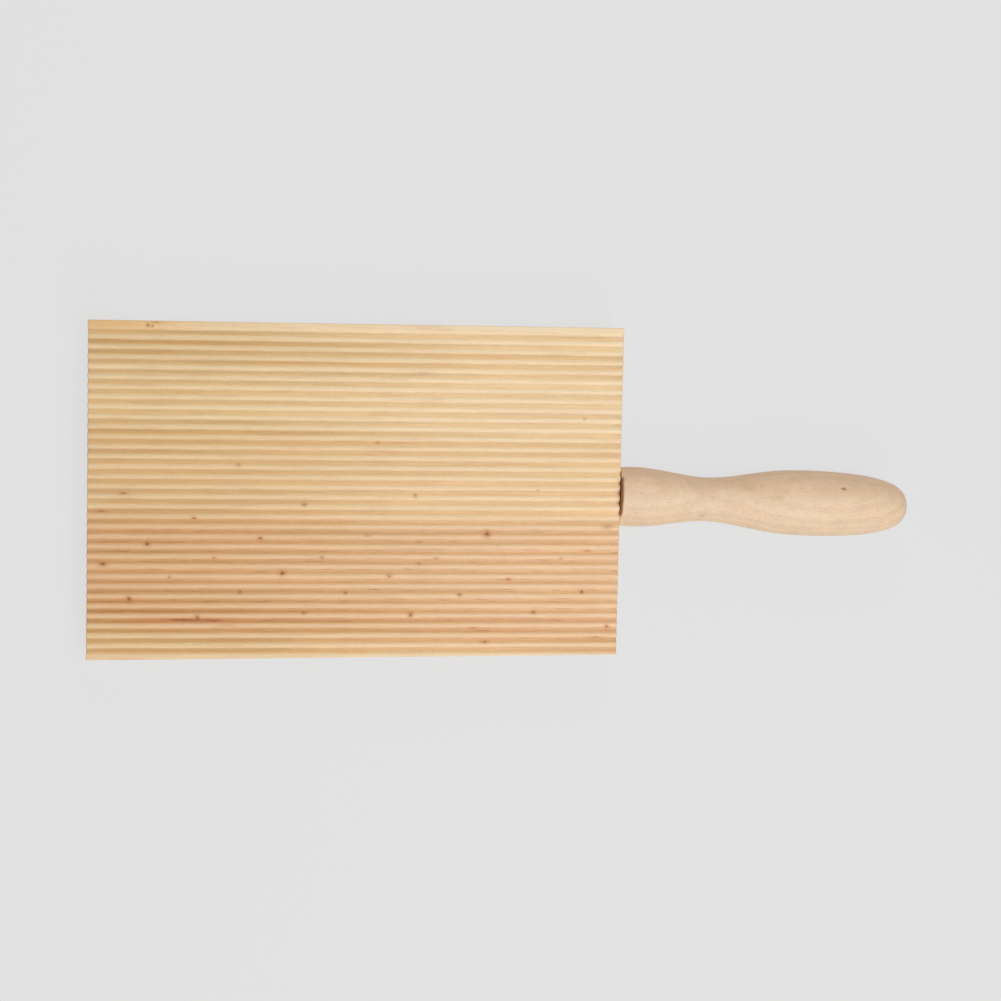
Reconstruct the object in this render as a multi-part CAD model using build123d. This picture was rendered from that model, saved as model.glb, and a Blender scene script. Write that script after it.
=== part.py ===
from build123d import *

import os
from math import atan2, cos, floor, radians, sin, tan

# A ribbed wooden board for rolling gnocchi and other small pasta, with a turned handle.
# The handle sits on the end of the board on a hidden fluted dowel, glued into both.
#
# Frame: X runs along the ribs towards the handle, Y across them, and Z up out of the
# ribbed face. The origin is the middle of the board's flat underside.
# All lengths are in millimetres.

# Board, a single piece of softwood.
board_length = 135.0  # end to end, on the centreline
board_width = 84.7  # half way along
width_taper = 0.9  # the -Y edge runs in this much from the free end to the handle end
board_thickness = 11.0  # underside to rib crests
end_skew_deg = 1.2  # the handle end is sawn this far out of square
corner_radius = 0.5  # the four upright corners, eased by sanding
underside_radius = 0.4  # the edges all round the underside
crest_end_chamfer = 0.25  # the edges all round the ribbed face

# Ribs, planed along the grain from edge to edge.
rib_pitch = 2.5
groove_depth = 0.85
plain_land_width = 1.5  # flat strip left along the +Y edge
groove_root_share = 0.18  # radius in the bottom of a groove, of the pitch
rib_crest_share = 0.30  # radius on top of a rib, of the pitch

# Dowel, a standard fluted pin of hard wood.
dowel_diameter = 6.0
dowel_length = 30.0
dowel_chamfer = 0.8
flute_count = 16
flute_radius = 0.35
flute_depth = 0.25

# Dowel joint.
glue_clearance = 0.05  # round the dowel, on the radius
bore_end_space = 1.0  # room for glue past each end of the dowel
bore_mouth_chamfer = 0.5
shoulder_gap = 0.1  # open line between the board's end and the handle
handle_offset = 1.0  # the handle enters this far to the -Y side of the middle
handle_angle_deg = 1.75  # and leans this far to the -Y side

# Handle, turned from a piece of close-grained hardwood. Places are shares of its length
# from the shoulder, and the curve shares say how far each curve runs level at its ends.
handle_length = 77.4
shoulder_diameter = 15.2
cuff_diameter = 15.6
neck_diameter = 11.5
grip_diameter = 17.3
shoulder_rim_radius = 0.4
cuff_place_share = 0.06
neck_place_share = 0.30
grip_place_share = 0.645
cuff_curve_share = 0.5
neck_rise_shares = (0.33, 0.30)
grip_rise_shares = (0.31, 0.45)
nose_length_share = 0.95
nose_width_share = 0.50

# How far a cutting shape runs past the face that it cuts.
overrun = 5.0

# How far the board's edges lie from the middle: +Y all along, and -Y at either end.
plus_edge = board_width / 2
minus_edge_free = (board_width + width_taper) / 2
minus_edge_handle = (board_width - width_taper) / 2
joint_height = board_thickness / 2
bore_radius = dowel_diameter / 2 + glue_clearance
bore_depth = dowel_length / 2 + bore_end_space


def joint_place():
    """The middle of the board's handle end, with X along the handle's axis."""
    end_x = board_length / 2 - handle_offset * tan(radians(end_skew_deg))
    return Location((end_x, -handle_offset, joint_height), (0, 0, -handle_angle_deg))


def rib_curve():
    """Radii, flank angle in radians and first groove's place of the ribbed face."""
    root = groove_root_share * rib_pitch
    crest = rib_crest_share * rib_pitch
    across = rib_pitch / 2
    up = groove_depth - root - crest
    flank = (across**2 + up**2 - (root + crest) ** 2) ** 0.5
    angle = atan2(up, across) + atan2(root + crest, flank)
    first = plus_edge - plain_land_width - rib_pitch / 2
    return root, crest, angle, first


def groove_edges(y):
    """One groove from the rib crest on its +Y side to the crest on its -Y side."""
    root, crest, angle, _ = rib_curve()
    top = board_thickness
    bottom = board_thickness - groove_depth
    half = rib_pitch / 2

    def on_crest(side, a):
        return Vector(0, y + side * (half - crest * sin(a)), top - crest * (1 - cos(a)))

    def on_root(side, a):
        return Vector(0, y + side * root * sin(a), bottom + root * (1 - cos(a)))

    return [
        ThreePointArc(on_crest(1, 0), on_crest(1, angle / 2), on_crest(1, angle)),
        Line(on_crest(1, angle), on_root(1, angle)),
        ThreePointArc(on_root(1, angle), Vector(0, y, bottom), on_root(-1, angle)),
        Line(on_root(-1, angle), on_crest(-1, angle)),
        ThreePointArc(on_crest(-1, angle), on_crest(-1, angle / 2), on_crest(-1, 0)),
    ]


def ribbed_bar():
    """The section with as many whole grooves as fit, run past both ends of the board."""
    first = rib_curve()[3]
    outside = max(plus_edge, minus_edge_free, minus_edge_handle) + overrun
    nearest = min(minus_edge_free, minus_edge_handle)
    count = floor((first + rib_pitch / 2 + nearest) / rib_pitch)
    start = Vector(0, first + rib_pitch / 2, board_thickness)
    stop = Vector(0, first + rib_pitch / 2 - count * rib_pitch, board_thickness)
    edges = [Line(Vector(0, outside, board_thickness), start)]
    for number in range(count):
        edges += groove_edges(first - number * rib_pitch)
    corners = [
        stop,
        Vector(0, -outside, board_thickness),
        Vector(0, -outside, -overrun),
        Vector(0, outside, -overrun),
        Vector(0, outside, board_thickness),
    ]
    edges += [Line(a, b) for a, b in zip(corners, corners[1:])]
    run = board_length / 2 + overrun
    return extrude(make_face(edges), amount=run, dir=(1, 0, 0), both=True)


def board_blank():
    """The board's outline with its eased edges, before the ribs are planed."""
    slope = tan(radians(end_skew_deg))
    left = -board_length / 2
    right = board_length / 2
    outline = Polyline(
        (left, plus_edge),
        (right + slope * plus_edge, plus_edge),
        (right - slope * minus_edge_handle, -minus_edge_handle),
        (left, -minus_edge_free),
        close=True,
    )
    blank = extrude(make_face(outline), amount=board_thickness)
    blank = fillet(blank.edges().filter_by(Axis.Z), corner_radius)
    blank = fillet(blank.faces().sort_by(Axis.Z)[0].edges(), underside_radius)
    return chamfer(blank.faces().sort_by(Axis.Z)[-1].edges(), crest_end_chamfer)


def bore(mouth):
    """A dowel hole along -X with a chamfered mouth at x = mouth, from the joint."""
    hole = Cylinder(bore_radius, bore_depth + overrun, align=(Align.CENTER, Align.CENTER, Align.MIN))
    hole = Pos(0, 0, -overrun) * hole
    wide = bore_radius + bore_mouth_chamfer
    sink = Cone(wide + overrun, bore_radius, bore_mouth_chamfer + overrun)
    sink = Pos(0, 0, (bore_mouth_chamfer - overrun) / 2) * sink
    return Pos(mouth, 0, 0) * Rot(0, -90, 0) * (hole + sink)


def ribbed_board():
    """The board, planed, sawn to its outline and drilled in its handle end."""
    blank = ribbed_bar() & board_blank()
    return blank - joint_place() * bore(0)


def level_curve(start, stop, shares):
    """A curve in the turning profile that runs level at both its ends."""
    run = stop[0] - start[0]
    return Bezier(
        start,
        (start[0] + shares[0] * run, start[1]),
        (stop[0] - shares[1] * run, stop[1]),
        stop,
    )


def turned_handle():
    """The handle: cuff, neck, grip and rounded nose, bored for the dowel."""
    shoulder_x = shoulder_gap
    tip_x = shoulder_gap + handle_length
    shoulder_r = shoulder_diameter / 2
    cuff = (shoulder_x + cuff_place_share * handle_length, cuff_diameter / 2)
    neck = (shoulder_x + neck_place_share * handle_length, neck_diameter / 2)
    grip = (shoulder_x + grip_place_share * handle_length, grip_diameter / 2)
    rim_x = shoulder_x + shoulder_rim_radius
    rim_mid = shoulder_rim_radius * (1 - cos(radians(45)))
    nose_run = tip_x - grip[0]
    profile = [
        Line((shoulder_x, 0), (shoulder_x, shoulder_r - shoulder_rim_radius)),
        ThreePointArc(
            (shoulder_x, shoulder_r - shoulder_rim_radius),
            (shoulder_x + rim_mid, shoulder_r - rim_mid),
            (rim_x, shoulder_r),
        ),
        Bezier(
            (rim_x, shoulder_r),
            (cuff[0] - cuff_curve_share * (cuff[0] - rim_x), cuff[1]),
            cuff,
        ),
        level_curve(cuff, neck, neck_rise_shares),
        level_curve(neck, grip, grip_rise_shares),
        Bezier(
            grip,
            (grip[0] + nose_length_share * nose_run, grip[1]),
            (tip_x, nose_width_share * grip[1]),
            (tip_x, 0),
        ),
        Line((tip_x, 0), (shoulder_x, 0)),
    ]
    body = revolve(make_face(profile), Axis.X)
    handle_bore = Rot(0, 180, 0) * bore(-shoulder_x)
    return joint_place() * (body - handle_bore)


def joint_dowel():
    """The fluted dowel, half in the board and half in the handle."""
    middle_x = shoulder_gap / 2
    pin = Cylinder(dowel_diameter / 2, dowel_length)
    pin = chamfer(pin.edges().filter_by(GeomType.CIRCLE), dowel_chamfer)
    flute_place = dowel_diameter / 2 - flute_depth + flute_radius
    flute = Cylinder(flute_radius, dowel_length + overrun)
    for number in range(flute_count):
        pin -= Rot(0, 0, 360 * number / flute_count) * Pos(flute_place, 0, 0) * flute
    return joint_place() * Pos(middle_x, 0, 0) * Rot(0, 90, 0) * pin


def main():
    os.makedirs("parts", exist_ok=True)
    nodes = {
        "ribbed_board": ribbed_board(),
        "turned_handle": turned_handle(),
        "joint_dowel": joint_dowel(),
    }
    for name, shape in nodes.items():
        export_step(shape, f"parts/{name}.step")


main()
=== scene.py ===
from math import atan2, cos, pi, radians, sin, tan

import bmesh
import bpy
import numpy as np
from mathutils import Matrix, Vector, noise


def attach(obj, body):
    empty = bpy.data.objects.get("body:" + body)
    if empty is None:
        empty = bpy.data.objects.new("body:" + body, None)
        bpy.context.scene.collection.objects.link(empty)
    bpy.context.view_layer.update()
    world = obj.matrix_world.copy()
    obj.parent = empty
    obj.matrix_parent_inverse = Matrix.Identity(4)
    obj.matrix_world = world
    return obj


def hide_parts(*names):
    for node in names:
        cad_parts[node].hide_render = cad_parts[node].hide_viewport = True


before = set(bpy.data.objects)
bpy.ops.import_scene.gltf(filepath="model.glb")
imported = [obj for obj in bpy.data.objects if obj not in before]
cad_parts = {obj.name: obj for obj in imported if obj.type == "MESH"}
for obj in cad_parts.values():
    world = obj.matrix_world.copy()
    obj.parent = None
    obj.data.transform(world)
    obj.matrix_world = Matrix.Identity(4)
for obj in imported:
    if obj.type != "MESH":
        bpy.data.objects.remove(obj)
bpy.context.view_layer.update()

# Lengths are in millimetres until a mesh is made, and metres from there on.
MM = 0.001

# The board, as the solid has it. The arris on the -Y edge takes up no more than a share of
# what the last crest leaves.
BOARD_LENGTH = 135.0
BOARD_WIDTH = 84.7
WIDTH_TAPER = 0.9
THICKNESS = 11.0
END_SKEW = radians(1.2)
RIB_PITCH = 2.5
GROOVE_DEPTH = 0.85
LAND_WIDTH = 1.5
ROOT_RADIUS = 0.45
CREST_RADIUS = 0.75
TOP_ARRIS = 0.25
BOTTOM_ARRIS = 0.4
LAST_ARRIS_SHARE = 0.6

# The joint and the handle, as the solids have them. The cuff, neck and grip are given by
# their place, as a share of the handle's length, and their radius.
HANDLE_OFFSET = 1.0
HANDLE_ANGLE = radians(1.75)
SHOULDER_GAP = 0.1
BORE_RADIUS = 3.05
BORE_DEPTH = 16.0
MOUTH_CHAMFER = 0.5
HANDLE_LENGTH = 77.4
SHOULDER_RADIUS = 7.6
CUFF = (0.06, 7.8)
NECK = (0.30, 5.75)
GRIP = (0.645, 8.65)
RIM_RADIUS = 0.4
CUFF_CURVE = 0.5
NECK_RISE = (0.33, 0.30)
GRIP_RISE = (0.31, 0.45)
NOSE_LENGTH = 0.95
NOSE_WIDTH = 0.50

# What sanding took off every face, and wear off the ribs, in worn places as long and wide as
# given. The handle's wobble is a share of its radius.
SANDED = 0.01
RIB_WEAR = 0.035
WEAR_LENGTH = 14
WEAR_WIDTH = 1.3
HANDLE_WOBBLE = 0.003
WOBBLE_LENGTH = 18
WOBBLE_TURNS = 1.5

# How ragged the saw left the board's two ends, how far in that reaches, and a seed for each.
RAGGED_DEPTH = 0.05
RAGGED_SIZE = 0.9
RAGGED_REACH = 1.2
RAGGED_SEEDS = {"free end": 7.0, "handle end": 3.0}

# How finely the meshes are divided, and the turn from which an edge is a sharp one.
STEPS_PER_RIB = 14
LAND_STEPS = 5
LAST_CREST_STEPS = 2
SIDE_STEPS = 6
UNDERSIDE_STEPS = 16
ARRIS_STEPS = 4
END_STATIONS = (0.7, 1.2)
MIDDLE_START = 2.0
STATION_SPACING = 0.9
TURNING_SEGMENTS = 160
RIM_STEPS = 6
CUFF_STEPS = 6
NECK_STEPS = 24
GRIP_STEPS = 32
NOSE_STEPS = 48
SHARP_TURN = radians(40)

# The pith of the log that the board came from, and how it drifts along the board.
PITH_Y = -22.6
PITH_Z = -40.35
PITH_DRIFT_Y = -0.034
PITH_DRIFT_Z = 0.007

# Pin knots seen on the ribbed face: x, y, radius, length along the grain, strength. At a
# strength below zero only a faint shade is left.
PIN_KNOTS = [
    (-52.6, 41.2, 0.33, 1.0, 0.9),
    (-51.5, 40.9, 0.28, 1.1, 0.7),
    (-50.6, 41.9, 0.20, 5.0, 0.55),
    (-30.0, 6.2, 0.38, 1.2, 0.5),
    (5.0, 12.2, 0.31, 1.6, 0.3),
    (58.0, 18.7, 0.31, 1.2, 0.2),
    (46.0, 0.2, 0.28, 1.2, 0.3),
    (14.5, -1.2, 0.43, 1.0, 0.45),
    (-13.5, -3.7, 0.38, 1.2, 0.65),
    (-58.5, -1.0, 0.30, 3.0, 0.5),
    (-64.0, -5.5, 0.24, 5.0, 0.6),
    (-41.0, -7.2, 0.33, 1.8, 0.7),
    (64.0, -9.0, 0.50, 2.0, 0.4),
    (33.0, -11.0, 0.62, 1.0, 0.95),
    (-24.5, -12.2, 0.38, 1.4, 0.8),
    (2.5, -11.5, 0.22, 3.0, 0.4),
    (15.5, -13.0, 0.25, 3.0, 0.4),
    (-52.5, -13.7, 0.45, 1.1, 0.95),
    (59.0, -15.2, 0.28, 1.6, 0.4),
    (52.0, -17.2, 0.28, 1.6, 0.4),
    (20.0, -17.2, 0.28, 2.0, 0.4),
    (-36.0, -17.2, 0.33, 1.4, 0.5),
    (-9.0, -17.0, 0.31, 1.4, 0.6),
    (-63.5, -18.7, 0.43, 1.6, 0.9),
    (15.5, -18.5, 0.31, 1.6, 0.45),
    (-19.0, -21.0, 0.45, 1.3, 0.95),
    (8.0, -21.7, 0.40, 1.4, 0.6),
    (-47.0, -22.0, 0.28, 1.0, 0.75),
    (38.5, -22.5, 0.28, 1.8, 0.7),
    (-29.5, -25.7, 0.35, 1.2, 0.85),
    (-3.0, -26.0, 0.28, 1.4, 0.7),
    (57.5, -25.7, 0.35, 1.0, 0.95),
    (26.0, -26.5, 0.33, 1.3, 0.85),
    (-57.0, -27.5, 0.50, 1.0, 1),
    (45.0, -31.0, 0.31, 1.4, 0.85),
    (-13.5, -31.0, 0.35, 1.3, 0.7),
    (13.5, -31.6, 0.43, 1.0, 1),
    (-40.0, -32.2, 0.50, 1.0, 1),
    (-43.0, -32.8, 0.34, 20.0, 0.85),
    (-36.3, -32.9, 0.30, 10.0, 0.8),
    (-33.0, -34.3, 0.80, 4.5, -0.5),
    (64.0, -34.7, 0.41, 1.2, 0.75),
    (29.5, -35.0, 0.25, 4.0, 0.5),
    (61.0, -37.5, 0.22, 6.0, 0.5),
    (32.5, -38.5, 0.25, 2.6, 0.75),
]

# Marks seen on the handle: distance from the board's end, y, radius, length, strength.
HANDLE_MARKS = [
    (57.75, 4.02, 0.26, 2.0, 0.45),
    (58.3, 3.90, 0.32, 1.6, 0.9),
    (58.9, 3.72, 0.26, 1.7, 0.35),
    (21.9, -4.4, 0.35, 4.5, 0.2),
]

# Soft darker clouds under the handle's surface, in the same terms.
HANDLE_CLOUDS = [
    (33.4, 3.4, 1.30, 1.6, 1.0),
    (37.0, 3.9, 1.00, 1.4, 0.7),
    (41.0, 1.0, 0.80, 3.0, 0.5),
]

# The distance from a mark, in its radii, at which it no longer counts, what a mark without
# strength adds to that distance, and what the underside of the handle adds.
NO_MARK = 4.0
WEAK_MARK = 1.2
HIDDEN_MARK = 6.0

# Colours are written as they look on screen, 0 to 255.
SAPWOOD = (249, 225, 186)
HEARTWOOD = (242, 206, 167)
YOUNG_SAPWOOD = (246, 218, 178)
KNOT = (140, 82, 26)
KNOT_HALO = (216, 150, 102)
PINK_PATCH = (233, 190, 150)
RED_DASH = (176, 104, 62)
END_GRAIN = (216, 176, 130)
END_RING = (170, 118, 74)
BEECH = (230, 202, 170)
BEECH_FLECK = (214, 179, 146)
BEECH_RING = (223, 192, 159)
BEECH_MARK = (160, 116, 74)
JOINT_PAINTED_SHADE = (150, 104, 62)
FLOOR_GREY = (227, 227, 227)

# White as a shader socket holds it.
WHITE = (1.0, 1.0, 1.0, 1.0)

# The board's wood by its distance from the pith, and how dark its latewood is, 0 to 255.
RING_ZONES = [
    (36, HEARTWOOD),
    (52.6, HEARTWOOD),
    (54.4, YOUNG_SAPWOOD),
    (61.0, YOUNG_SAPWOOD),
    (64.5, SAPWOOD),
    (86, SAPWOOD),
]
LATE_BANDS = [
    (48, 0),
    (51.2, 0),
    (52.6, 110),
    (53.6, 100),
    (54.8, 0),
    (55.8, 0),
    (56.9, 85),
    (58.0, 0),
    (60.4, 40),
    (62.3, 152),
    (64.5, 0),
    (73.8, 0),
    (75.0, 182),
    (76.2, 115),
    (77.4, 200),
    (79.4, 70),
    (80.4, 0),
    (82, 0),
]
YEAR_WIDTH = 2.3
BEECH_YEAR_WIDTH = 2.1

# What latewood, grooves, flanks and wear do to the board's colour, as red, green and blue.
LATE_TINT = (0.85, 0.755, 0.62)
# Towards the free end the wood is yellower, and darker as painted shade.
FAR_COLOUR_AND_SHADE_TINT = (0.965, 0.926, 0.858)
# The groove tints make the grooves warmer and darker; the darkening is painted shade in the
# recesses.
GROOVE_SHADE_TINT = (1.0, 0.97, 0.92)
FAR_GROOVE_SHADE_TINT = (0.93, 0.915, 0.845)
HEART_GROOVE_SHADE_TINT = (0.985, 1.0, 1.03)
FAR_HEART_GROOVE_SHADE_TINT = (0.96, 0.94, 0.92)
# The flank tints are painted light on the flanks that face +Y and painted shade on the flanks that
# face -Y.
PLUS_FLANK_PAINTED_LIGHT = (1.08, 1.05, 0.98)
HEART_FLANK_PAINTED_SHADE = (0.94, 0.905, 0.85)
MINUS_FLANK_PAINTED_SHADE = (0.86, 0.86, 0.875)
# The edge groove tints are painted shade in the grooves near the -Y edge.
EDGE_GROOVE_SHADE_TINT = (0.94, 0.89, 0.84)
FAR_EDGE_GROOVE_SHADE_TINT = (0.93, 0.90, 0.84)
WORN_LAND_TINT = (0.94, 0.77, 0.56)

# What clouds under the surface do to the handle's colour, and the painted light that makes its +Y
# side redder and a little lighter.
CLOUD_TINT = (0.87, 0.84, 0.72)
BEECH_PLUS_SIDE_LIGHT_TINT = (1.04, 0.99, 0.955)

# The kinds of noise in the wood: how long each one's grain is along, across and up through
# it, and the noise's detail and roughness.
GRAINS = {
    "groove edge": ((9, 0.9, 0.9), 2.0, 0.5),
    "slow wave": ((90, 16, 16), 1.0, 0.5),
    "quick wave": ((20, 3, 3), 2.0, 0.5),
    "faint ring": ((1, 1, 1.5), 2.0, 0.5),
    "pink patch": ((11, 1.5, 1.5), 2.0, 0.5),
    "streak": ((26, 0.6, 0.6), 3.0, 0.6),
    "fibre": ((3.6, 0.2, 0.2), 3.0, 0.65),
    "speckle": ((0.7, 0.28, 0.28), 1.0, 0.5),
    "each groove": ((60, 2.0, 30), 1.0, 0.5),
    "red dash": ((7, 0.35, 0.35), 2.0, 0.5),
    "knot edge": ((1.2, 0.5, 0.5), 2.0, 0.5),
    "pores": ((0.3, 0.12, 0.12), 2.0, 0.5),
    "beech wave": ((30, 9, 9), 2.0, 0.5),
    "beech fleck": ((1.5, 0.28, 0.28), 2.0, 0.6),
    "beech cloud": ((4, 2.0, 2.0), 3.0, 0.5),
    "beech grain": ((0.6, 0.2, 0.2), 2.0, 0.5),
}

# How far noise moves a groove's edge, the rings, a knot's edge, the handle's rings, its
# marks and its painted joint shade. A faint ring runs far along the board, and the rings of the
# handle lie a little aslant.
GROOVE_SWAY = 0.5
SLOW_WAVE = 1.6
QUICK_WAVE = 1.1
KNOT_SWAY = 1.5
BEECH_WAVE = 4.5
MARK_SWAY = 0.4
JOINT_SHADE_SWAY = 0.6
RING_RUN = 0.02
BEECH_RING_SLANT = 0.35

# Where each look of the board starts and where it is full, which may be the lower end: by
# the way a face turns, by place, by distance from the pith or a knot, or by its noise.
FACES_UP = (0.2, 0.5)
FACES_PLUS_Y = (0.1, 0.7)
FACES_MINUS_Y = (0.15, -0.35)
FACES_SAW = (0.93, 0.995)
LEAVES_SAW = (0.7, 0.2)
INTO_GROOVE = (THICKNESS - 0.25, THICKNESS - 0.8)
DOWN_FLANK = (THICKNESS - 0.3, THICKNESS - 0.6)
TO_FREE_END = (45.0, -60.0)
INTO_HEART = (54.2, 52.6)
PAST_PITH = (-5.0, -9.0)
OFF_MINUS_EDGE = (-37.6, -36.2)
WORN_ALONG = (-30.0, -66.0)
WORN_ACROSS = (39.0, 41.5)
HALO_EDGE = (3.4, 0.8)
KNOT_EDGE = (1.5, 0.1)
KNOT_PIT = (1.3, 0.4)
YEAR_DARKENS = (0.35, 0.9)
YEAR_ENDS = (1.0, 0.93)
FAINT_RINGS = (0.52, 0.78)
PINK_PATCHES = (0.5, 0.72)
RED_DASHES = (0.56, 0.72)

# The same for the handle, and the middle of the painted shade at its joint.
BEECH_YEAR_DARKENS = (0.2, 0.85)
BEECH_YEAR_ENDS = (1.0, 0.9)
FLECKS = (0.50, 0.70)
TO_PLUS_SIDE = (0.5, 4.5)
TO_UNDERSIDE = (1.0, 0.0)
CLOUD_EDGE = (1.8, 0.2)
MARK_EDGE = (1.9, 0.5)
JOINT_SHADE_END = (1.10, 0.55)
JOINT_SHADE_SIDES = (5.4, 4.4)
JOINT_SHADE_MIDDLE = -0.1

# How strong each look is where it is full, or for the edge's grooves where they fade.
FAINT_RING_SHARE = 0.12
PINK_SHARE = 0.28
HALO_SHARE = 0.55
KNOT_SHARE = 0.8
END_SHARE = 0.75
END_RING_SHARE = 0.65
EDGE_GROOVE_SHADE_SHARE = 0.7
BEECH_RING_SHARE = 0.6
FLECK_SHARE = 0.55
CLOUD_SHARE = 0.75
MARK_SHARE = 0.85

# How much a look grows and what it starts from: latewood, the difference between grooves,
# the red dashes and how much less painted flank shade the heart gets.
LATE_TO_FREE_END = (0.5, 0.70)
LATE_INTO_GROOVE = (0.95, 0.70)
EACH_INTO_GROOVE = (0.25, 0.08)
DASH_INTO_HEART = (0.30, 0.06)
DASH_INTO_GROOVE = (0.9, 0.3)
HEART_FLANK_SHADE_LESS_TO_FREE_END = (0.7, 0.3)

# How much the noises lighten and darken the wood, and how light it is without them.
GRAIN_TONES = {"streak": 0.22, "fibre": 0.26, "speckle": 0.14}
BOARD_TONE = 1.0
PORE_TONE = (0.3, 0.85)
BEECH_CLOUD_TONE = 0.20
BEECH_GRAIN_TONE = 0.28
BEECH_TONE = 1.06

# The relief of the surface in millimetres, how much of it is left on sawn ends, how much
# rougher the noise makes it than it is without, and its sheen.
GRAIN_HEIGHTS = {"fibre": 0.045, "streak": 0.03, "speckle": 0.015}
KNOT_HEIGHT = -0.05
SAWN_RELIEF = 0.15
BEECH_HEIGHT = 0.02
BEECH_GRAIN_HEIGHT = 0.6
BOARD_ROUGHNESS = (0.2, 0.5)
BEECH_ROUGHNESS = (0.2, 0.42)
BOARD_SHEEN = 0.3
BEECH_SHEEN = 0.35

# The floor and its gap to the object, in metres, and how much of it is an even grey.
FLOOR_SIZE = 4.0
FLOOR_GAP = 0.05 * MM
EVEN_GREY_SHARE = 0.9

# The camera, fitted to the photo's view: its place in millimetres, and its turns in radians.
CAMERA_PLACE = (-1.24, -4.387, 405.5)
CAMERA_TURNS = [("Z", -0.005279), ("Y", 0.095016), ("X", -0.005178)]
CAMERA_LENS = 55.68
CAMERA_SENSOR = 36.0
CAMERA_CLIP = 0.01

# The lamps, each with its place in metres and its power in watts, and the world's light.
LAMPS = {
    "over": ((0.22, -0.1, 0.6), 1.62),
    "front": ((0.15, -0.45, 0.35), 1.45),
    "back": ((0.1, 0.45, 0.35), 0.92),
    "low": ((-0.5, 0.0, 0.16), 0.5),
}
LAMP_AIM = (0.03, 0.0, 0.0)
LAMP_SIZE = 0.3
WORLD_LIGHT = 0.085


def linear(colour):
    """A screen colour as the linear RGBA that shader sockets hold."""
    parts = [part / 255 for part in colour]
    curved = [p / 12.92 if p <= 0.04045 else ((p + 0.055) / 1.055) ** 2.4 for p in parts]
    return (*curved, 1.0)


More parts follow.
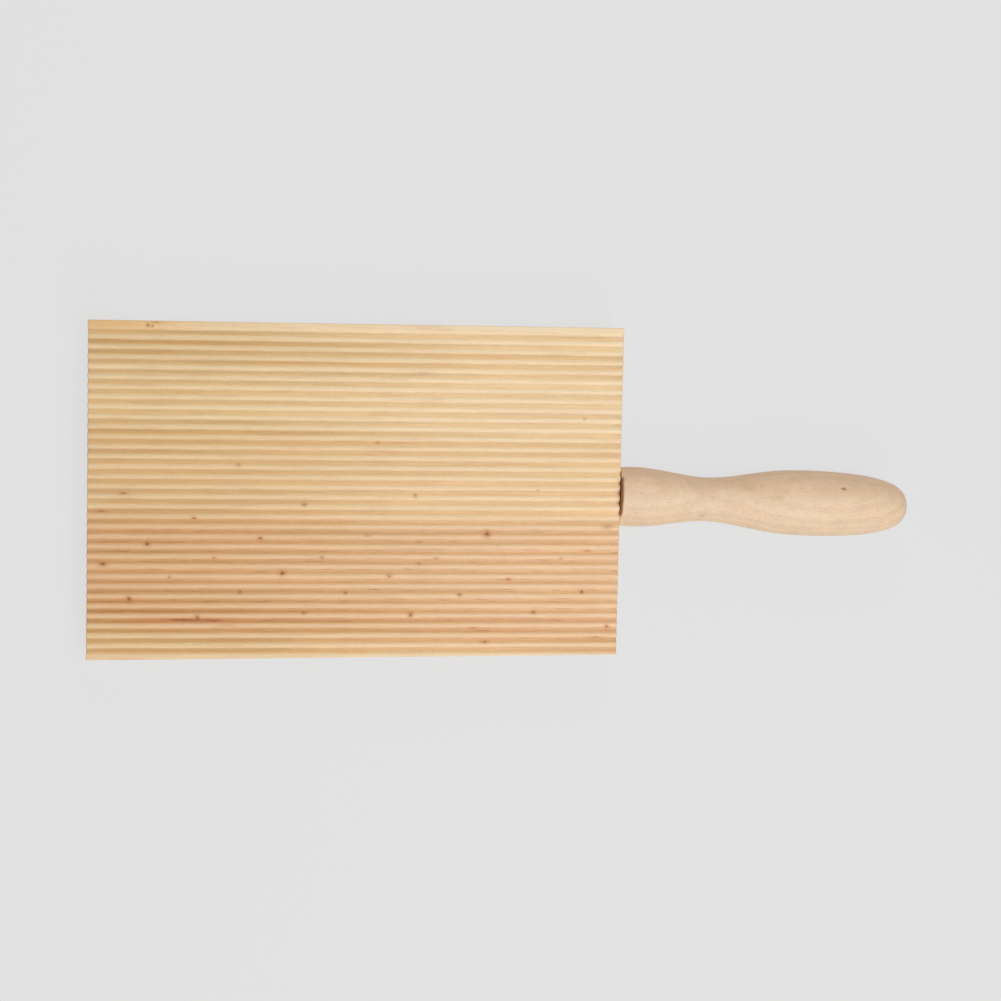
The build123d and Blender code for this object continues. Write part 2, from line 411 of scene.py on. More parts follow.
class Graph:
    """The node tree of a material or world, with short calls that give back sockets."""

    def __init__(self, owner):
        self.owner = owner
        owner.use_nodes = True
        self.tree = owner.node_tree
        self.tree.nodes.clear()

    def put(self, socket, value):
        if isinstance(value, bpy.types.NodeSocket):
            self.tree.links.new(value, socket)
        else:
            socket.default_value = value

    def node(self, kind, settings=None, **inputs):
        made = self.tree.nodes.new(kind)
        for key, value in (settings or {}).items():
            setattr(made, key, value)
        for key, value in inputs.items():
            self.put(made.inputs[key.replace("_", " ")], value)
        return made

    def math(self, operation, *values, clamp=False):
        made = self.node("ShaderNodeMath", {"operation": operation, "use_clamp": clamp})
        for socket, value in zip(made.inputs, values):
            self.put(socket, value)
        return made.outputs[0]

    def add(self, first, second):
        return self.math("ADD", first, second)

    def minus(self, first, second):
        return self.math("SUBTRACT", first, second)

    def over(self, first, second):
        return self.math("DIVIDE", first, second)

    def times(self, first, *others):
        for other in others:
            first = self.math("MULTIPLY", first, other)
        return first

    def scale(self, value, factor, start):
        """The value times the factor, plus start."""
        return self.math("MULTIPLY_ADD", value, factor, start)

    def sway(self, noise_value, amount, base=0.0):
        """The base, moved up and down by half the amount as the noise goes from 0 to 1."""
        return self.scale(self.minus(noise_value, 0.5), amount, base)

    def vector(self, operation, *values):
        made = self.node("ShaderNodeVectorMath", {"operation": operation})
        for socket, value in zip(made.inputs, values):
            self.put(socket, value)
        return made.outputs["Value" if operation == "LENGTH" else "Vector"]

    def split(self, vector):
        return self.node("ShaderNodeSeparateXYZ", Vector=vector).outputs

    def join(self, x, y, z):
        return self.node("ShaderNodeCombineXYZ", X=x, Y=y, Z=z).outputs[0]

    def grain(self, vector, kind):
        """Noise from 0 to 1, of a kind that GRAINS describes."""
        stretch, detail, roughness = GRAINS[kind]
        scaled = self.vector("MULTIPLY", vector, [1 / length for length in stretch])
        made = self.node(
            "ShaderNodeTexNoise", Vector=scaled, Scale=1.0, Detail=detail, Roughness=roughness
        )
        return made.outputs["Fac"]

    def ease(self, value, span, amounts=(0.0, 1.0)):
        """A smooth step from the first amount to the second as the value crosses the span."""
        made = self.node("ShaderNodeMapRange", {"interpolation_type": "SMOOTHSTEP"}, Value=value)
        for key, number in zip(("From Min", "From Max", "To Min", "To Max"), (*span, *amounts)):
            made.inputs[key].default_value = number
        return made.outputs["Result"]

    def year(self, distance, width, darkens, ends):
        """A growth ring, darkening slowly through each year's width and ending fast."""
        share = self.math("FRACT", self.over(distance, width))
        return self.times(self.ease(share, darkens), self.ease(share, ends))

    def mix(self, factor, first, second, blend="MIX"):
        made = self.node("ShaderNodeMix", {"data_type": "RGBA", "blend_type": blend})
        self.put(made.inputs[0], factor)
        self.put(made.inputs[6], first)
        self.put(made.inputs[7], second)
        return made.outputs[2]

    def shade(self, colour, factor):
        """The colour times a grey factor."""
        grey = self.node("ShaderNodeCombineColor", Red=factor, Green=factor, Blue=factor)
        return self.mix(1.0, colour, grey.outputs[0], "MULTIPLY")

    def tint(self, colour, factor, tint):
        """The colour times the tint's red, green and blue, as far as the factor says."""
        amount = self.mix(factor, WHITE, (*tint, 1.0))
        return self.mix(1.0, colour, amount, "MULTIPLY")

    def ramp(self, value, stops):
        """A colour for each value, from rising stops of (value, screen colour)."""
        low = stops[0][0]
        high = stops[-1][0]
        made = self.node("ShaderNodeValToRGB", Fac=self.over(self.minus(value, low), high - low))
        elements = made.color_ramp.elements
        while len(elements) < len(stops):
            elements.new(0.5)
        for element, (at, colour) in zip(elements, stops):
            element.position = (at - low) / (high - low)
            element.color = linear(colour)
        return made.outputs["Color"]

    def finish(self, colour, roughness, height, sheen):
        """The surface, with height in millimetres as bump."""
        bump = self.node("ShaderNodeBump", Strength=1.0, Distance=MM, Height=height)
        surface = self.node(
            "ShaderNodeBsdfPrincipled",
            Base_Color=colour,
            Roughness=roughness,
            Normal=bump.outputs["Normal"],
        )
        surface.inputs["Specular IOR Level"].default_value = sheen
        return self.output("ShaderNodeOutputMaterial", surface.outputs[0])

    def output(self, kind, surface):
        """Ends the tree and gives back what it belongs to."""
        self.node(kind, Surface=surface)
        return self.owner

    def mix_shaders(self, factor, first, second):
        made = self.node("ShaderNodeMixShader")
        for socket, value in zip(made.inputs, (factor, first, second)):
            self.put(socket, value)
        return made.outputs[0]

    def seen_or_lit(self, seen, lit):
        """One shader where it is seen, reflected or looked through, and one for its light."""
        path = self.node("ShaderNodeLightPath").outputs
        eye = self.math("MAXIMUM", path["Is Camera Ray"], path["Is Glossy Ray"])
        eye = self.math("MAXIMUM", eye, path["Is Transmission Ray"])
        return self.mix_shaders(eye, lit, seen)

    def place_in_mm(self):
        """The point in the row frame, in millimetres."""
        place = self.node("ShaderNodeTexCoord").outputs["Object"]
        return self.vector("MULTIPLY", place, [1 / MM] * 3)

    def marks(self, place, marks):
        """How far the point is from the nearest mark: 0 in its middle and 1 at its edge."""
        nearest = NO_MARK
        for x, y, radius, length, strength in marks:
            size = (1 / (radius * length), 1 / radius, 0)
            offset = (-x * size[0], -y * size[1], 0)
            away = self.vector("LENGTH", self.vector("MULTIPLY_ADD", place, size, offset))
            weak = self.add(away, (1 - strength) * WEAK_MARK)
            nearest = self.math("MINIMUM", nearest, weak)
        return nearest


class BoardPoint:
    """What the look of a point of the board depends on."""

    def __init__(self, g):
        self.place = g.place_in_mm()
        self.x, self.y, self.z = g.split(self.place)
        facing = g.node("ShaderNodeTexCoord").outputs["Normal"]
        self.face_x, self.face_y, face_z = g.split(facing)
        self.upward = g.ease(face_z, FACES_UP)
        self.hollow = g.sway(g.grain(self.place, "groove edge"), GROOVE_SWAY, self.z)
        self.depth = g.times(g.ease(self.hollow, INTO_GROOVE), self.upward)
        self.far = g.ease(self.x, TO_FREE_END)
        self.find_ring(g)

    def find_ring(self, g):
        """The distance from the pith. The rings stand nearly upright through the ribs, so each
        groove is coloured as its crests."""
        wave = g.sway(g.grain(self.place, "quick wave"), QUICK_WAVE)
        wave = g.sway(g.grain(self.place, "slow wave"), SLOW_WAVE, wave)
        level = g.math("MINIMUM", g.add(self.z, GROOVE_DEPTH), THICKNESS)
        self.pith_y = g.scale(self.x, PITH_DRIFT_Y, PITH_Y)
        self.pith_z = g.scale(self.x, PITH_DRIFT_Z, PITH_Z)
        self.across = g.add(g.minus(self.y, self.pith_y), wave)
        self.above = g.minus(level, self.pith_z)
        self.radius = g.vector("LENGTH", g.join(0.0, self.across, self.above))
        self.heart = g.ease(self.radius, INTO_HEART)


def growth_rings(g, at):
    """A pink heart, paler sapwood and dark bands of latewood, by the distance from the pith."""
    zones = g.ramp(at.radius, RING_ZONES)
    bands = g.ramp(at.radius, [(radius, (grey, grey, grey)) for radius, grey in LATE_BANDS])
    faint = g.grain(g.join(g.times(at.x, RING_RUN), 0.0, at.radius), "faint ring")
    late = g.add(bands, g.ease(faint, FAINT_RINGS, (0.0, FAINT_RING_SHARE)))
    late = g.times(late, g.scale(at.far, *LATE_TO_FREE_END))
    late = g.math("MULTIPLY", late, g.scale(at.depth, *LATE_INTO_GROOVE), clamp=True)
    return g.tint(zones, late, LATE_TINT)


def wood_tone(g, at, colour, grains):
    """Patches of pink, streaks, fibres and speckles, and grooves that differ a little."""
    patch = g.grain(at.place, "pink patch")
    colour = g.mix(g.ease(patch, PINK_PATCHES, (0.0, PINK_SHARE)), colour, linear(PINK_PATCH))
    tone = BOARD_TONE
    for kind, amount in GRAIN_TONES.items():
        tone = g.sway(grains[kind], amount, tone)
    each = g.grain(at.place, "each groove")
    return g.shade(colour, g.sway(each, g.scale(at.depth, *EACH_INTO_GROOVE), tone))


def red_dashes(g, at, colour):
    """The short red dashes of the heart, clearest in its grooves."""
    dash = g.ease(g.grain(at.place, "red dash"), RED_DASHES)
    dash = g.times(dash, g.scale(at.heart, *DASH_INTO_HEART))
    dash = g.times(dash, g.scale(at.depth, *DASH_INTO_GROOVE))
    return g.mix(dash, colour, linear(RED_DASH))


def painted_flank_light_and_shade(g, at, colour):
    """Painted light on the flanks that face +Y and painted shade on those that face -Y, with less
    painted shade on the -Y flanks of the heart, least towards the free end.
    """
    plus = g.times(g.ease(at.face_y, FACES_PLUS_Y), at.upward)
    minus = g.times(g.ease(at.face_y, FACES_MINUS_Y), at.upward, g.ease(at.hollow, DOWN_FLANK))
    smooth = g.times(at.heart, g.scale(at.far, *HEART_FLANK_SHADE_LESS_TO_FREE_END))
    minus = g.times(minus, g.minus(1.0, smooth))
    colour = g.tint(colour, plus, PLUS_FLANK_PAINTED_LIGHT)
    colour = g.tint(colour, g.times(plus, at.heart), HEART_FLANK_PAINTED_SHADE)
    return g.tint(colour, minus, MINUS_FLANK_PAINTED_SHADE)


def groove_and_free_end_shade(g, at, colour):
    """Grooves are warmer and darker than crests, most of all towards the free end and the -Y edge;
    their darkening is painted shade in the recesses. The free end is yellower, and darker as painted
    shade.
    """
    colour = g.tint(colour, at.far, FAR_COLOUR_AND_SHADE_TINT)
    colour = g.tint(colour, at.depth, GROOVE_SHADE_TINT)
    colour = g.tint(colour, g.times(at.depth, at.far), FAR_GROOVE_SHADE_TINT)
    deep_heart = g.times(at.depth, at.heart)
    colour = g.tint(colour, deep_heart, HEART_GROOVE_SHADE_TINT)
    colour = g.tint(colour, g.times(deep_heart, at.far), FAR_HEART_GROOVE_SHADE_TINT)
    deep_edge = g.times(at.depth, g.ease(at.across, PAST_PITH))
    deep_edge = g.times(deep_edge, g.ease(at.y, OFF_MINUS_EDGE, (EDGE_GROOVE_SHADE_SHARE, 1.0)))
    colour = g.tint(colour, deep_edge, EDGE_GROOVE_SHADE_TINT)
    return g.tint(colour, g.times(deep_edge, at.far), FAR_EDGE_GROOVE_SHADE_TINT)


def worn_land(g, at, colour):
    """The flat land along the +Y edge is browner towards the free end."""
    worn = g.times(g.ease(at.x, WORN_ALONG), g.ease(at.y, WORN_ACROSS))
    return g.tint(colour, worn, WORN_LAND_TINT)


def knot_distance(g, at):
    """How far the point is from a pin knot. Knots run outwards from the pith, so the point
    is followed along its own line from the pith to the ribbed face."""
    outward = g.over(g.minus(THICKNESS, at.pith_z), at.above)
    knot_y = g.scale(g.minus(at.y, at.pith_y), outward, at.pith_y)
    near = g.marks(g.join(at.x, knot_y, 0.0), PIN_KNOTS)
    return g.sway(g.grain(at.place, "knot edge"), KNOT_SWAY, near)


def pin_knots(g, knot, colour):
    """A brown knot in a paler halo."""
    colour = g.mix(g.ease(knot, HALO_EDGE, (0.0, HALO_SHARE)), colour, linear(KNOT_HALO))
    return g.mix(g.ease(knot, KNOT_EDGE, (0.0, KNOT_SHARE)), colour, linear(KNOT))


def sawn_ends(g, at, sawn, colour):
    """Sawn ends are darker, with a ring for each year."""
    ring = g.times(g.year(at.radius, YEAR_WIDTH, YEAR_DARKENS, YEAR_ENDS), END_RING_SHARE)
    ends = g.mix(ring, linear(END_GRAIN), linear(END_RING))
    ends = g.shade(ends, g.scale(g.grain(at.place, "pores"), *PORE_TONE))
    return g.mix(g.times(g.ease(sawn, FACES_SAW), END_SHARE), colour, ends)


def softwood():
    """Knotty softwood, with its rings round one pith, a pink heart and paler sapwood."""
    g = Graph(bpy.data.materials.new("softwood"))
    at = BoardPoint(g)
    grains = {kind: g.grain(at.place, kind) for kind in GRAIN_TONES}
    knot = knot_distance(g, at)
    sawn = g.math("ABSOLUTE", at.face_x)

    colour = growth_rings(g, at)
    colour = wood_tone(g, at, colour, grains)
    colour = red_dashes(g, at, colour)
    colour = painted_flank_light_and_shade(g, at, colour)
    colour = groove_and_free_end_shade(g, at, colour)
    colour = worn_land(g, at, colour)
    colour = pin_knots(g, knot, colour)
    colour = sawn_ends(g, at, sawn, colour)

    height = 0.0
    for kind, amount in GRAIN_HEIGHTS.items():
        height = g.scale(grains[kind], amount, height)
    height = g.scale(g.ease(knot, KNOT_PIT), KNOT_HEIGHT, height)
    height = g.times(height, g.ease(sawn, LEAVES_SAW, (SAWN_RELIEF, 1.0)))
    return g.finish(colour, g.scale(grains["fibre"], *BOARD_ROUGHNESS), height, BOARD_SHEEN)


def hardwood(name, marks=(), clouds=(), paint_joint_shade=False):
    """Close-grained pale hardwood with short flecks, for turned pieces."""
    g = Graph(bpy.data.materials.new(name))
    moved = g.vector("SUBTRACT", g.place_in_mm(), joint_point())
    turn = g.node("ShaderNodeVectorRotate", {"rotation_type": "Z_AXIS"}, Vector=moved,
                  Angle=HANDLE_ANGLE)
    along = turn.outputs[0]
    x, y, z = g.split(along)
    fleck = g.grain(along, "beech fleck")
    cloud = g.grain(along, "beech cloud")
    grain = g.grain(along, "beech grain")

    level = g.scale(g.grain(along, "beech wave"), BEECH_WAVE, g.scale(y, BEECH_RING_SLANT, z))
    ring = g.year(level, BEECH_YEAR_WIDTH, BEECH_YEAR_DARKENS, BEECH_YEAR_ENDS)
    colour = g.mix(g.times(ring, BEECH_RING_SHARE), linear(BEECH), linear(BEECH_RING))
    colour = g.mix(g.ease(fleck, FLECKS, (0.0, FLECK_SHARE)), colour, linear(BEECH_FLECK))
    tone = g.sway(cloud, BEECH_CLOUD_TONE, BEECH_TONE)
    colour = g.shade(colour, g.sway(grain, BEECH_GRAIN_TONE, tone))
    # A painted light makes the +Y side redder and a little lighter.
    colour = g.tint(colour, g.ease(y, TO_PLUS_SIDE), BEECH_PLUS_SIDE_LIGHT_TINT)

    # Clouds and marks lie on the upper side only.
    hidden = g.ease(z, TO_UNDERSIDE, (0.0, HIDDEN_MARK))
    from_above = g.join(x, y, 0.0)
    if clouds:
        dim = g.add(g.marks(from_above, clouds), hidden)
        colour = g.tint(colour, g.ease(dim, CLOUD_EDGE, (0.0, CLOUD_SHARE)), CLOUD_TINT)
    if marks:
        near = g.sway(fleck, MARK_SWAY, g.add(g.marks(from_above, marks), hidden))
        colour = g.mix(g.ease(near, MARK_EDGE, (0.0, MARK_SHARE)), colour, linear(BEECH_MARK))
    # A brown painted shade on the handle's shoulder, where it meets the board's end.
    if paint_joint_shade:
        joint_shade = g.ease(g.scale(cloud, JOINT_SHADE_SWAY, x), JOINT_SHADE_END)
        aside = g.math("ABSOLUTE", g.minus(y, JOINT_SHADE_MIDDLE))
        colour = g.mix(g.times(joint_shade, g.ease(aside, JOINT_SHADE_SIDES)), colour, linear(JOINT_PAINTED_SHADE))

    height = g.times(g.scale(grain, BEECH_GRAIN_HEIGHT, fleck), BEECH_HEIGHT)
    return g.finish(colour, g.scale(fleck, *BEECH_ROUGHNESS), height, BEECH_SHEEN)


def floor_material():
    """A pale grey floor that shows an even grey to the camera and keeps a soft shadow."""
    g = Graph(bpy.data.materials.new("floor_grey"))
    glow = g.node("ShaderNodeEmission", Color=linear(FLOOR_GREY), Strength=1.0).outputs[0]
    matt = g.node("ShaderNodeBsdfDiffuse", Color=linear(FLOOR_GREY)).outputs[0]
    shown = g.mix_shaders(EVEN_GREY_SHARE, matt, glow)
    return g.output("ShaderNodeOutputMaterial", g.seen_or_lit(shown, matt))


def joint_point():
    """Where the handle's axis leaves the board's end."""
    return (BOARD_LENGTH / 2 - HANDLE_OFFSET * tan(END_SKEW), -HANDLE_OFFSET, THICKNESS / 2)


def joint_matrix():
    """From the handle's own frame, X along its axis, to the row frame."""
    return Matrix.Translation(joint_point()) @ Matrix.Rotation(-HANDLE_ANGLE, 4, "Z")


def add_object(name, data):
    made = bpy.data.objects.new(name, data)
    bpy.context.scene.collection.objects.link(made)
    return made


def first_groove():
    return BOARD_WIDTH / 2 - LAND_WIDTH - RIB_PITCH / 2


def groove_count():
    """As many whole grooves as fit where the board is narrowest."""
    nearest_edge = (BOARD_WIDTH - WIDTH_TAPER) / 2
    return int((first_groove() + RIB_PITCH / 2 + nearest_edge) // RIB_PITCH)


def drop_below_crest(offset):
    """How far the ribbed face lies below the crests, offset across from a groove."""
    across = RIB_PITCH / 2
    up = GROOVE_DEPTH - ROOT_RADIUS - CREST_RADIUS
    flank = (across**2 + up**2 - (ROOT_RADIUS + CREST_RADIUS) ** 2) ** 0.5
    angle = atan2(up, across) + atan2(ROOT_RADIUS + CREST_RADIUS, flank)
    out = abs(offset)
    if out <= ROOT_RADIUS * sin(angle):
        return GROOVE_DEPTH - ROOT_RADIUS + (ROOT_RADIUS**2 - out**2) ** 0.5
    from_crest = max(across - out, 0.0)
    if from_crest <= CREST_RADIUS * sin(angle):
        return CREST_RADIUS - (CREST_RADIUS**2 - from_crest**2) ** 0.5
    crest_end = CREST_RADIUS * (1 - cos(angle))
    return crest_end + (from_crest - CREST_RADIUS * sin(angle)) * tan(angle)


def arc(centre_y, centre_z, radius, start):
    """A quarter turn of the board's section, from start degrees, without its last point."""
    turns = [radians(start + 90 * step / ARRIS_STEPS) for step in range(ARRIS_STEPS)]
    return [(centre_y + radius * cos(a), centre_z + radius * sin(a)) for a in turns]


def line(start, stop, count):
    """Points from start up to stop, without the last."""
    return [tuple(np.add(start, np.subtract(stop, start) * k / count)) for k in range(count)]


def board_section(minus_edge):
    """The board's closed section as (y, z), from the +Y edge over the ribs and round."""
    plus_edge = BOARD_WIDTH / 2
    top_z = THICKNESS - TOP_ARRIS
    top_plus = plus_edge - TOP_ARRIS
    low_plus = plus_edge - BOTTOM_ARRIS
    low_minus = BOTTOM_ARRIS - minus_edge
    first = first_groove()
    last_crest = first - groove_count() * RIB_PITCH + RIB_PITCH / 2
    minus_arris = min(TOP_ARRIS, LAST_ARRIS_SHARE * (minus_edge + last_crest))
    top_minus = minus_arris - minus_edge
    points = arc(top_plus, top_z, TOP_ARRIS, 0)
    points += line((top_plus, THICKNESS), (first + RIB_PITCH / 2, THICKNESS), LAND_STEPS)
    for number in range(groove_count()):
        for step in range(STEPS_PER_RIB):
            offset = RIB_PITCH * (0.5 - step / STEPS_PER_RIB)
            y = first - number * RIB_PITCH + offset
            points.append((y, THICKNESS - drop_below_crest(offset)))
    points += line((last_crest, THICKNESS), (top_minus, THICKNESS), LAST_CREST_STEPS)
    points += arc(top_minus, THICKNESS - minus_arris, minus_arris, 90)
    points += line((-minus_edge, THICKNESS - minus_arris), (-minus_edge, BOTTOM_ARRIS), SIDE_STEPS)
    points += arc(low_minus, BOTTOM_ARRIS, BOTTOM_ARRIS, 180)
    points += line((low_minus, 0.0), (low_plus, 0.0), UNDERSIDE_STEPS)
    points += arc(low_plus, BOTTOM_ARRIS, BOTTOM_ARRIS, 270)
    points += line((plus_edge, BOTTOM_ARRIS), (plus_edge, top_z), SIDE_STEPS)
    return np.array(points)


def board_stations():
    """Where the board's rings stand: how far from an end, how much smaller, and in what part.
    The free end and the middle are measured from the free end."""
    end = []
    for step in range(ARRIS_STEPS + 1):
        turn = pi / 2 * (1 - step / ARRIS_STEPS)
        end.append((TOP_ARRIS * (1 - sin(turn)), TOP_ARRIS * (1 - cos(turn))))
    end += [(distance, 0.0) for distance in END_STATIONS]
    middle = np.arange(MIDDLE_START, BOARD_LENGTH - MIDDLE_START, STATION_SPACING)
    stations = [(distance, shrink, "free end") for distance, shrink in end]
    stations += [(distance, 0.0, "middle") for distance in middle]
    stations += [(distance, shrink, "handle end") for distance, shrink in reversed(end)]
    return stations


def saw_marks(distance, y, z, part):
    """How far along the board the saw moved a point near one of its ends."""
    if part == "middle":
        return 0.0
    rough = noise.noise((y / RAGGED_SIZE, z / RAGGED_SIZE, RAGGED_SEEDS[part]))
    ragged = max(0.0, 1 - distance / RAGGED_REACH) * RAGGED_DEPTH * (1 + rough)
    return ragged if part == "free end" else -ragged


def board_ring(distance, shrink, part):
    """One ring of the board's mesh, with the small unevenness of planed and sawn wood."""
    share = 1 - distance / BOARD_LENGTH if part == "handle end" else distance / BOARD_LENGTH
    section = board_section(BOARD_WIDTH / 2 + WIDTH_TAPER * (0.5 - share))
    ahead = np.roll(section, -1, axis=0) - np.roll(section, 1, axis=0)
    inward = np.stack([-ahead[:, 1], ahead[:, 0]], axis=1)
    inward /= np.linalg.norm(inward, axis=1)[:, None]
    ring = []
    for y, z in section + inward * (shrink + SANDED):
        reach = BOARD_LENGTH + y * tan(END_SKEW)
        x = distance
        if part == "middle":
            x = distance * reach / BOARD_LENGTH
        elif part == "handle end":
            x = reach - distance
        wear = 0.0
        if z > THICKNESS - GROOVE_DEPTH - TOP_ARRIS:
            wear = RIB_WEAR * (1 + noise.noise((x / WEAR_LENGTH, y / WEAR_WIDTH, 0.0)))
        x += saw_marks(distance, y, z, part)
        ring.append((x - BOARD_LENGTH / 2, y, z - wear))
    return ring


def end_faces(ring, base):
    """Triangles that close a ring, between its ribbed side and its underside."""
    low = min(range(len(ring)), key=lambda k: ring[k][1])
    top, bottom = 0, len(ring) - 1
    faces = []
    while top < low - 1 or bottom > low:
        right_way = bottom <= low + 1 or ring[top + 1][1] >= ring[bottom - 1][1]
        if top < low - 1 and (top == 0 or right_way):
            faces.append((base + top, base + bottom, base + top + 1))
            top += 1
        else:
            faces.append((base + top, base + bottom, base + bottom - 1))
            bottom -= 1
    return faces


def tube_mesh(name, rings):
    """A closed mesh from rings of points, with a flat end on each side."""
    count = len(rings[0])
    points = [Vector(point) * MM for ring in rings for point in ring]
    faces = []
    for number in range(len(rings) - 1):
        base = number * count
        for k in range(count):
            after = (k + 1) % count
            faces.append((base + k, base + after, base + count + after, base + count + k))
    faces += end_faces(rings[0], 0)
    faces += end_faces(rings[-1], (len(rings) - 1) * count)
    mesh = bpy.data.meshes.new(name)
    mesh.from_pydata(points, [], faces)
    mesh.validate()
    work = bmesh.new()
    work.from_mesh(mesh)
    bmesh.ops.recalc_face_normals(work, faces=work.faces)
    for face in work.faces:
        face.smooth = len(face.verts) == 4
    for edge in work.edges:
        edge.smooth = all(face.smooth for face in edge.link_faces)
    work.to_mesh(mesh)
    work.free()
    return mesh


def turned_mesh(name, profile, wobble):
    """A closed turned mesh from (x, radius) rows that start and end on the axis."""
    work = bmesh.new()
    place = joint_matrix()
    rings = []
    for x, radius in profile:
        if radius == 0:
            rings.append([work.verts.new(place @ Vector((x, 0, 0)) * MM)])
            continue
        ring = []
        for segment in range(TURNING_SEGMENTS):
            turn = 2 * pi * segment / TURNING_SEGMENTS
            around = (x / WOBBLE_LENGTH, WOBBLE_TURNS * cos(turn), WOBBLE_TURNS * sin(turn))
            real = radius * (1 - wobble * (1 + noise.noise(around)))
            point = Vector((x, real * cos(turn), real * sin(turn)))
            ring.append(work.verts.new(place @ point * MM))
        rings.append(ring)
    for first, second in zip(rings, rings[1:]):
        for k in range(TURNING_SEGMENTS):
            after = (k + 1) % TURNING_SEGMENTS
            if len(first) == 1:
                work.faces.new((first[0], second[k], second[after]))
            elif len(second) == 1:
                work.faces.new((first[k], second[0], first[after]))
            else:
                work.faces.new((first[k], second[k], second[after], first[after]))
    bmesh.ops.recalc_face_normals(work, faces=work.faces)
    for face in work.faces:
        face.smooth = True
    mesh = bpy.data.meshes.new(name)
    work.to_mesh(mesh)
    work.free()
    mesh.set_sharp_from_angle(angle=SHARP_TURN)
    return mesh


def bezier(points, count):
    """Points on a Bezier curve, without the first."""
    points = [np.array(point, float) for point in points]
    curve = []
    for step in range(1, count + 1):
        share = step / count
        level = points
        while len(level) > 1:
            level = [a * (1 - share) + b * share for a, b in zip(level, level[1:])]
        curve.append(tuple(level[0]))
    return curve


def level_curve(start, stop, shares, count):
    """A curve of the turning profile that runs level at both its ends."""
    run = stop[0] - start[0]
    near = (start[0] + shares[0] * run, start[1])
    far = (stop[0] - shares[1] * run, stop[1])
    return bezier([start, near, far, stop], count)


def handle_profile():
    """The handle's turning profile, from the bottom of its bore round to its nose."""
    shoulder = SHOULDER_GAP
    tip = shoulder + HANDLE_LENGTH - SANDED
    cuff = (shoulder + CUFF[0] * HANDLE_LENGTH, CUFF[1])
    neck = (shoulder + NECK[0] * HANDLE_LENGTH, NECK[1])
    grip = (shoulder + GRIP[0] * HANDLE_LENGTH, GRIP[1])
    rim = (shoulder + RIM_RADIUS, SHOULDER_RADIUS)
    bore_end = shoulder + BORE_DEPTH
    profile = [
        (bore_end, 0),
        (bore_end, BORE_RADIUS),
        (shoulder + MOUTH_CHAMFER, BORE_RADIUS),
        (shoulder, BORE_RADIUS + MOUTH_CHAMFER),
    ]
    for step in range(RIM_STEPS + 1):
        turn = pi / 2 * step / RIM_STEPS
        drop = RIM_RADIUS * (1 - sin(turn))
        profile.append((shoulder + RIM_RADIUS * (1 - cos(turn)), SHOULDER_RADIUS - drop))
    rise = (cuff[0] - CUFF_CURVE * (cuff[0] - rim[0]), cuff[1])
    profile += bezier([rim, rise, cuff], CUFF_STEPS)
    profile += level_curve(cuff, neck, NECK_RISE, NECK_STEPS)
    profile += level_curve(neck, grip, GRIP_RISE, GRIP_STEPS)
    nose_run = tip - grip[0]
    nose = [grip, (grip[0] + NOSE_LENGTH * nose_run, grip[1]), (tip, NOSE_WIDTH * grip[1]), (tip, 0)]
    profile += bezier(nose, NOSE_STEPS)
    profile[-1] = (tip, 0)
    return profile


def bore_cutter():
    """The dowel hole in the board's end, as a cutting shape."""
    profile = [
        (-BORE_DEPTH, 0),
        (-BORE_DEPTH, BORE_RADIUS),
        (-MOUTH_CHAMFER, BORE_RADIUS),
        (MOUTH_CHAMFER, BORE_RADIUS + 2 * MOUTH_CHAMFER),
        (MOUTH_CHAMFER, 0),
    ]
    return turned_mesh("bore_cutter", profile, 0.0)


def drill(piece, cutter_mesh):
    """Cuts the dowel hole into the piece's mesh."""
    cutter = add_object("bore_cutter", cutter_mesh)
    cut = piece.modifiers.new("bore", "BOOLEAN")
    cut.operation = "DIFFERENCE"
    cut.solver = "EXACT"
    cut.object = cutter
    graph = bpy.context.evaluated_depsgraph_get()
    drilled = bpy.data.meshes.new_from_object(piece.evaluated_get(graph))
    piece.modifiers.remove(cut)
    old = piece.data
    piece.data = drilled
    bpy.data.meshes.remove(old)
    bpy.data.objects.remove(cutter)
    bpy.data.meshes.remove(cutter_mesh)


def make_board():
    mesh = tube_mesh("ribbed_board_looks", [board_ring(*place) for place in board_stations()])
    mesh.materials.append(softwood())
    board = add_object("ribbed_board_wood", mesh)
    drill(board, bore_cutter())
    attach(board, "root")
    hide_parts("ribbed_board")


def make_handle():
    mesh = turned_mesh("turned_handle_looks", handle_profile(), HANDLE_WOBBLE)
    mesh.materials.append(hardwood("beech", HANDLE_MARKS, HANDLE_CLOUDS, paint_joint_shade=True))
    handle = add_object("turned_handle_wood", mesh)
    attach(handle, "root")
    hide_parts("turned_handle")


def dress_dowel():
    """The dowel keeps its solid and gets the hardwood."""
    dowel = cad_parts["joint_dowel"]
    dowel.data.materials.clear()
    dowel.data.materials.append(hardwood("dowel_beech"))


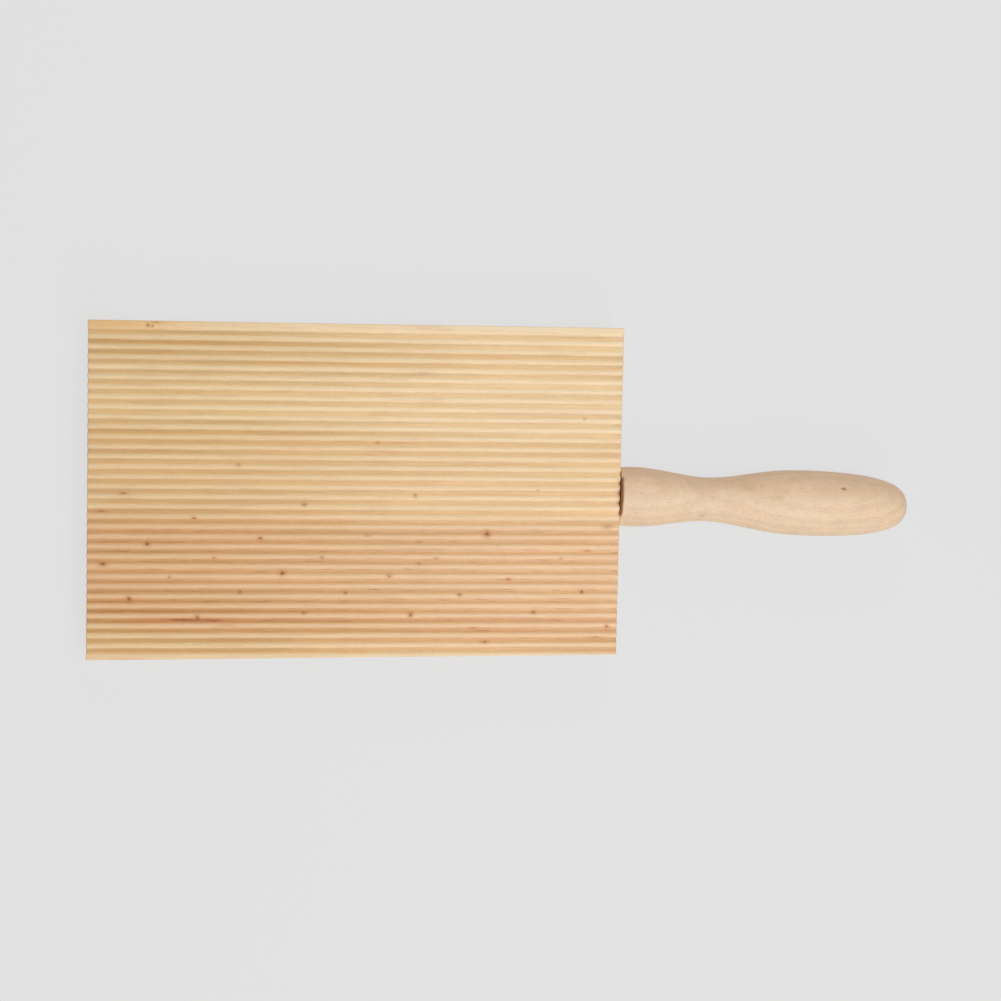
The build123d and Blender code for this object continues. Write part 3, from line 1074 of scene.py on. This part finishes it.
def make_floor():
    """The floor touches the grip's belly and the far bottom edge of the board."""
    foot_x = -BOARD_LENGTH / 2
    belly_x = joint_point()[0] + SHOULDER_GAP + GRIP[0] * HANDLE_LENGTH
    belly_z = THICKNESS / 2 - GRIP[1]
    half = FLOOR_SIZE / 2
    corners = [(-half, -half, 0), (half, -half, 0), (half, half, 0), (-half, half, 0)]
    mesh = bpy.data.meshes.new("floor")
    mesh.from_pydata(corners, [], [(0, 1, 2, 3)])
    mesh.materials.append(floor_material())
    floor = add_object("floor", mesh)
    floor.rotation_euler = (0, atan2(-belly_z, belly_x - foot_x), 0)
    floor.location = (foot_x * MM, 0, -FLOOR_GAP)


def make_camera():
    camera = bpy.data.cameras.new("camera")
    camera.sensor_width = CAMERA_SENSOR
    camera.lens = CAMERA_LENS
    camera.clip_start = CAMERA_CLIP
    placed = add_object("camera", camera)
    placed.rotation_mode = "QUATERNION"
    turn = Matrix.Identity(3)
    for axis, angle in CAMERA_TURNS:
        turn = turn @ Matrix.Rotation(angle, 3, axis)
    placed.rotation_quaternion = turn.transposed().to_quaternion()
    placed.location = [length * MM for length in CAMERA_PLACE]
    bpy.context.scene.camera = placed


def add_lamp(name, place, power):
    lamp = bpy.data.lights.new(name, "AREA")
    lamp.shape = "DISK"
    lamp.size = LAMP_SIZE
    lamp.energy = power
    placed = add_object(name, lamp)
    placed.location = place
    placed.rotation_mode = "QUATERNION"
    placed.rotation_quaternion = (Vector(place) - Vector(LAMP_AIM)).to_track_quat("Z", "Y")


def make_lights():
    """Soft lamps all round, the strongest from above, and a little light from everywhere."""
    for name, (place, power) in LAMPS.items():
        add_lamp(name, place, power)
    world = bpy.data.worlds.new("studio")
    bpy.context.scene.world = world
    g = Graph(world)
    around = g.node("ShaderNodeBackground", Color=WHITE, Strength=WORLD_LIGHT)
    seen = g.node("ShaderNodeBackground", Color=linear(FLOOR_GREY), Strength=1.0)
    g.output("ShaderNodeOutputWorld", g.seen_or_lit(seen.outputs[0], around.outputs[0]))


def main():
    make_camera()
    make_board()
    make_handle()
    dress_dowel()
    make_floor()
    make_lights()
    bpy.context.scene.view_settings.view_transform = "Standard"


main()
